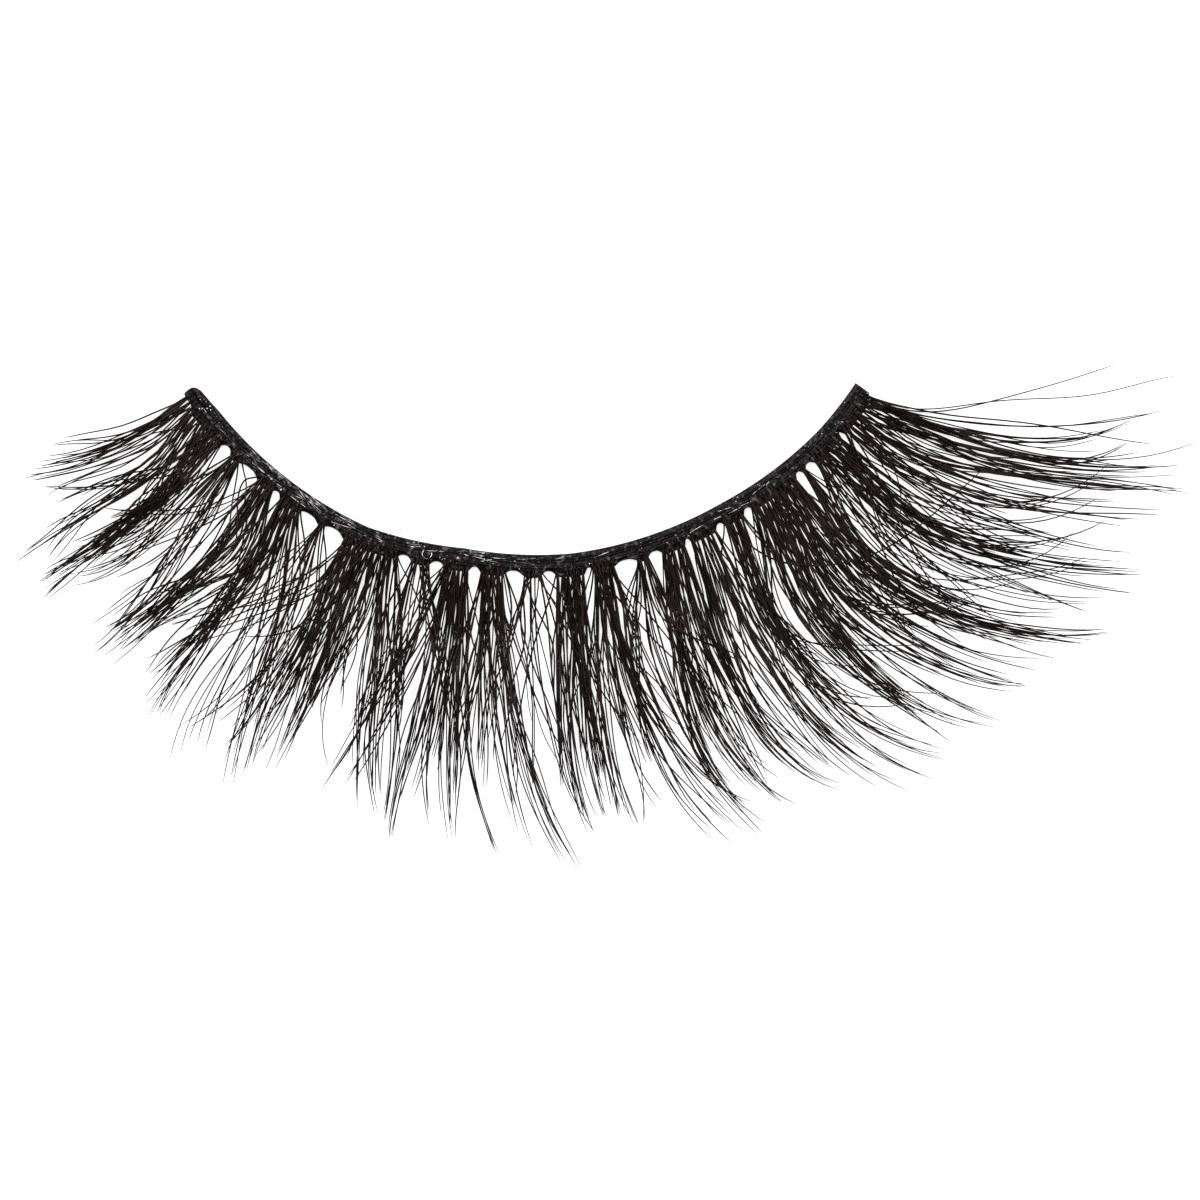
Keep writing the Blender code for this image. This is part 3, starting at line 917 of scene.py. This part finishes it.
def thread_course(start, stop, near, far, chance):
    """One filament along the band: it drifts and waves, and its ends dip into the glue."""
    middle = chance.uniform(start, stop)
    half = chance.uniform(*THREAD_HALVES)
    first = max(middle - half, THREAD_SHARES[0])
    last = min(middle + half, THREAD_SHARES[1])
    shares = np.linspace(first, last, THREAD_STEPS)
    way = (shares - middle) / half
    drift = chance.normal(0.0, THREAD_DRIFT) * way
    wave_size = chance.uniform(*THREAD_WAVES)
    turns = chance.uniform(*THREAD_PACES) * shares + chance.uniform(*PHASE_RANGE)
    offsets = chance.uniform(near, far) * MM + drift + wave_size * np.sin(turns)
    offsets = np.clip(offsets, *THREAD_OFFSETS)
    heights = glue_height(offsets) - THREAD_SINK + THREAD_ARCH * np.cos(math.pi * way)
    return np.column_stack((band_point(shares, offsets), heights))


def build_threads(material):
    """Fine filaments that the glue holds along the band."""
    chance = np.random.default_rng(BAND_SEED)
    courses, radii, tones = [], [], []
    for start, stop, near, far, count in THREADS:
        for _ in range(count):
            courses.append(thread_course(start, stop, near, far, chance))
            radii.append(np.full(THREAD_STEPS, THREAD_RADIUS * chance.uniform(*THREAD_THICKNESSES)))
            tones.append(chance.random())
    verts, faces = hair_tubes(courses, radii)
    piece = make_object("band_threads", verts, faces, material)
    add_attribute(piece, "tone", np.repeat(tones, THREAD_STEPS * HAIR_SIDES))


def build_glints(material):
    """Short pale fibres on the glue, painted in as glints of light."""
    t = np.linspace(0.0, 1.0, THREAD_STEPS)
    courses = []
    for start_across, start_down, end_across, end_down in GLINTS:
        start = photo_plan(start_across, start_down)
        plan = start + t[:, None] * (photo_plan(end_across, end_down) - start)
        offsets = np.linalg.norm(plan - ARC_CENTRE, axis=1) - EDGE_RADIUS
        heights = glue_height(offsets) + GLINT_ARCH * np.sin(math.pi * t)
        courses.append(np.column_stack((plan, heights)))
    radius = GLINT_RADIUS * np.sin(math.pi * np.linspace(*GLINT_TAPER, THREAD_STEPS))
    verts, faces = hair_tubes(courses, [radius] * len(courses))
    make_object("glue_glints", verts, faces, material)


def grain_corners(start, stop, near, far, chance):
    """The corners of one grain, somewhere on a stretch of the glue and turned by chance."""
    offset = chance.uniform(near, far) * MM
    plan = band_point(chance.uniform(start, stop), offset)
    centre = np.array((plan[0], plan[1], glue_height(offset)))
    turn = chance.uniform(0.0, math.pi)
    radius = GRAIN_RADIUS * chance.uniform(*GRAIN_SIZES)
    stretch = np.array((radius * chance.uniform(*GRAIN_STRETCHES), radius, GRAIN_FLATNESS * radius))
    ahead = np.array((math.cos(turn), math.sin(turn), 0.0))
    aside = np.array((-math.sin(turn), math.cos(turn), 0.0))
    up = np.array((0.0, 0.0, 1.0))
    return centre + (GRAIN_CORNERS * stretch) @ np.array((ahead, aside, up))


def build_grains(material):
    """Tiny pale grains that sit on the glue: dust specks, partly painted glints."""
    chance = np.random.default_rng(BAND_SEED)
    verts, faces = [], []
    for start, stop, near, far, count in GRAINS:
        for _ in range(count):
            base = len(verts)
            verts.extend(grain_corners(start, stop, near, far, chance))
            faces.extend(tuple(base + corner for corner in face) for face in GRAIN_FACES)
    make_object("glue_grains", verts, faces, material)


def build_bubble(material):
    """The ring that an open bubble has left in the glue."""
    plan = photo_plan(*BUBBLE_PIXEL)
    verts, faces = [], []
    for step in range(BUBBLE_STEPS):
        turn = 2.0 * math.pi * step / BUBBLE_STEPS
        here = step * BUBBLE_SIDES
        there = (step + 1) % BUBBLE_STEPS * BUBBLE_SIDES
        for side in range(BUBBLE_SIDES):
            tilt = 2.0 * math.pi * side / BUBBLE_SIDES
            reach = BUBBLE_RADIUS + BUBBLE_RIM * math.cos(tilt)
            height = BUBBLE_HEIGHT + BUBBLE_RIM * math.sin(tilt)
            verts.append((plan[0] + reach * math.cos(turn), plan[1] + reach * math.sin(turn), height))
            following = (side + 1) % BUBBLE_SIDES
            faces.append((here + side, there + side, there + following, here + following))
    make_object("glue_bubble", verts, faces, material)


# Materials

def new_material(name):
    material = bpy.data.materials.new(name)
    material.use_nodes = True
    return material, material.node_tree.nodes, material.node_tree.links


def attribute_value(nodes, name):
    node = nodes.new("ShaderNodeAttribute")
    node.attribute_name = name
    return node.outputs["Fac"]


def noise_value(nodes, links, place, scale, detail=NOISE_DETAIL):
    node = nodes.new("ShaderNodeTexNoise")
    node.inputs["Scale"].default_value = scale
    node.inputs["Detail"].default_value = detail
    links.new(place, node.inputs["Vector"])
    return node.outputs["Fac"]


def mapped(nodes, links, value, old_range, new_range=(0.0, 1.0)):
    """A value moved from one range to another, and held inside it."""
    node = nodes.new("ShaderNodeMapRange")
    names = ("From Min", "From Max", "To Min", "To Max")
    for name, number in zip(names, old_range + new_range):
        node.inputs[name].default_value = number
    links.new(value, node.inputs["Value"])
    return node.outputs["Result"]


def mixed_colour(nodes, links, factor, first, second):
    """A mix of two colours, each of them a constant or another node's output."""
    node = nodes.new("ShaderNodeMix")
    node.data_type = "RGBA"
    for socket, colour in (("A", first), ("B", second)):
        if isinstance(colour, tuple):
            node.inputs[socket].default_value = colour + (1.0,)
        else:
            links.new(colour, node.inputs[socket])
    links.new(factor, node.inputs["Factor"])
    return node.outputs["Result"]


def add_bump(nodes, links, shader, height, strength, distance):
    node = nodes.new("ShaderNodeBump")
    node.inputs["Strength"].default_value = strength
    node.inputs["Distance"].default_value = distance
    links.new(height, node.inputs["Height"])
    links.new(node.outputs["Normal"], shader.inputs["Normal"])


def add_roughness(nodes, links, shader, noise, roughness):
    """Roughness that varies with the noise between two values."""
    links.new(mapped(nodes, links, noise, NOISE_RANGE, roughness), shader.inputs["Roughness"])


def object_place(nodes):
    return nodes.new("ShaderNodeTexCoord").outputs["Object"]


def hair_material():
    """Near-black to warm dark fibres, each with its own tone and an uneven soft gloss, and paler patches
    of painted sheen.
    """
    material, nodes, links = new_material("lash_hair")
    shader = nodes["Principled BSDF"]
    grain = noise_value(nodes, links, object_place(nodes), HAIR_NOISE)
    fibre = mixed_colour(nodes, links, attribute_value(nodes, "tone"), *HAIR_COLOURS)
    # Painted sheen: the noise mixes a paler colour into the hair as highlights
    painted_sheen = mapped(nodes, links, grain, HAIR_PAINTED_SHEEN_RANGE)
    links.new(mixed_colour(nodes, links, painted_sheen, fibre, HAIR_PAINTED_SHEEN_COLOUR), shader.inputs["Base Color"])
    add_roughness(nodes, links, shader, grain, HAIR_ROUGHNESS)
    shader.inputs["Specular IOR Level"].default_value = DARK_SPECULAR
    shader.inputs["Specular Tint"].default_value = HAIR_SPECULAR_TINT
    add_bump(nodes, links, shader, grain, HAIR_BUMP, FINE_BUMP_HEIGHT)
    return material


def band_place(nodes, links, across_stretch):
    """Millimetres along the band, held at one so the streaks run unbroken, and across it, stretched."""
    both = nodes.new("ShaderNodeCombineXYZ")
    for name, socket, stretch in (("along", "X", 1.0), ("across", "Y", across_stretch)):
        distance = attribute_value(nodes, name)
        links.new(mapped(nodes, links, distance, (0.0, MM), (0.0, stretch)), both.inputs[socket])
    return both.outputs["Vector"]


def glue_material():
    """Black glue: streaks along the buried thread, and a faint pale mottling painted in as glints of
    light off the uneven surface.
    """
    material, nodes, links = new_material("band_glue")
    shader = nodes["Principled BSDF"]
    streaks = noise_value(nodes, links, band_place(nodes, links, GLUE_STREAK_STRETCH), GLUE_STREAKS)
    mottling = noise_value(nodes, links, object_place(nodes), GLUE_NOISE)
    streaked = mixed_colour(nodes, links, mapped(nodes, links, streaks, GLUE_STREAK_RANGE), *GLUE_COLOURS)
    # Painted glints: the mottling mixes a pale colour into the glue
    pale = mapped(nodes, links, mottling, GLUE_PAINTED_GLINT_RANGE)
    links.new(mixed_colour(nodes, links, pale, streaked, GLUE_PAINTED_GLINT_COLOUR), shader.inputs["Base Color"])
    add_roughness(nodes, links, shader, mottling, GLUE_ROUGHNESS)
    shader.inputs["Specular IOR Level"].default_value = DARK_SPECULAR
    height = nodes.new("ShaderNodeMath")
    links.new(streaks, height.inputs[0])
    links.new(mottling, height.inputs[1])
    add_bump(nodes, links, shader, height.outputs["Value"], GLUE_BUMP, GLUE_BUMP_HEIGHT)
    return material


def thread_material():
    """Grey fibres, each with its own tone, that sink into the black glue here and there."""
    material, nodes, links = new_material("band_thread")
    shader = nodes["Principled BSDF"]
    grain = noise_value(nodes, links, object_place(nodes), THREAD_NOISE)
    fibre = mixed_colour(nodes, links, attribute_value(nodes, "tone"), *THREAD_COLOURS)
    bare = mapped(nodes, links, grain, THREAD_SUNK_RANGE)
    links.new(mixed_colour(nodes, links, bare, THREAD_SUNK_COLOUR, fibre), shader.inputs["Base Color"])
    add_roughness(nodes, links, shader, grain, THREAD_ROUGHNESS)
    shader.inputs["Specular IOR Level"].default_value = THREAD_SPECULAR
    add_bump(nodes, links, shader, grain, THREAD_BUMP, FINE_BUMP_HEIGHT)
    return material


def pale_material():
    """Grey to near-white specks, the paleness partly painted glints."""
    material, nodes, links = new_material("pale_specks_and_glints")
    shader = nodes["Principled BSDF"]
    grain = noise_value(nodes, links, object_place(nodes), PALE_NOISE, PALE_DETAIL)
    colour = mixed_colour(nodes, links, mapped(nodes, links, grain, PALE_RANGE), *PALE_COLOURS)
    links.new(colour, shader.inputs["Base Color"])
    add_roughness(nodes, links, shader, grain, PALE_ROUGHNESS)
    add_bump(nodes, links, shader, grain, PALE_BUMP, FINE_BUMP_HEIGHT)
    return material


# Stage, lights and camera

def build_stage():
    """A white floor with its own glow, so that the fringe casts no grey haze on it."""
    material, nodes, links = new_material("floor_white")
    shader = nodes["Principled BSDF"]
    shader.inputs["Base Color"].default_value = FLOOR_COLOUR
    shader.inputs["Roughness"].default_value = FLOOR_ROUGHNESS
    shader.inputs["Specular IOR Level"].default_value = 0.0
    shader.inputs["Emission Color"].default_value = WHITE
    shader.inputs["Emission Strength"].default_value = FLOOR_GLOW
    bpy.ops.mesh.primitive_plane_add(size=FLOOR_SIZE, location=(0.0, 0.0, -FLOOR_DROP))
    floor = bpy.context.object
    floor.name = "floor"
    floor.data.materials.append(material)


def area_light(name, location, size, power):
    """A round lamp that faces the strip."""
    data = bpy.data.lights.new(name, "AREA")
    data.shape = "DISK"
    data.size = size
    data.energy = power
    light = bpy.data.objects.new(name, data)
    light.location = location
    light.rotation_euler = (-Vector(location)).to_track_quat("-Z", "Y").to_euler()
    bpy.context.scene.collection.objects.link(light)


def build_lights():
    world = bpy.data.worlds.new("studio")
    world.use_nodes = True
    background = world.node_tree.nodes["Background"]
    background.inputs["Color"].default_value = WHITE
    background.inputs["Strength"].default_value = WORLD_STRENGTH
    bpy.context.scene.world = world
    for name, location, size, power in LIGHTS:
        area_light(name, location, size, power)


def build_camera():
    """A camera straight above the middle of the photo, which takes in just its width."""
    data = bpy.data.cameras.new("camera")
    data.sensor_width = SENSOR_WIDTH
    data.lens = SENSOR_WIDTH * CAMERA_HEIGHT / (PHOTO_SIZE * PIXEL)
    data.clip_start = CLIP_START
    camera = bpy.data.objects.new("camera", data)
    middle = photo_plan(0.5 * PHOTO_SIZE, 0.5 * PHOTO_SIZE)
    camera.location = (middle[0], middle[1], CAMERA_HEIGHT)
    bpy.context.scene.collection.objects.link(camera)
    bpy.context.scene.camera = camera


bpy.context.scene.view_settings.view_transform = "Standard"
build_camera()
build_stage()
build_lights()
build_lashes(hair_material())
build_band(glue_material())
build_threads(thread_material())
pale = pale_material()
build_grains(pale)
build_glints(pale)
build_bubble(pale)
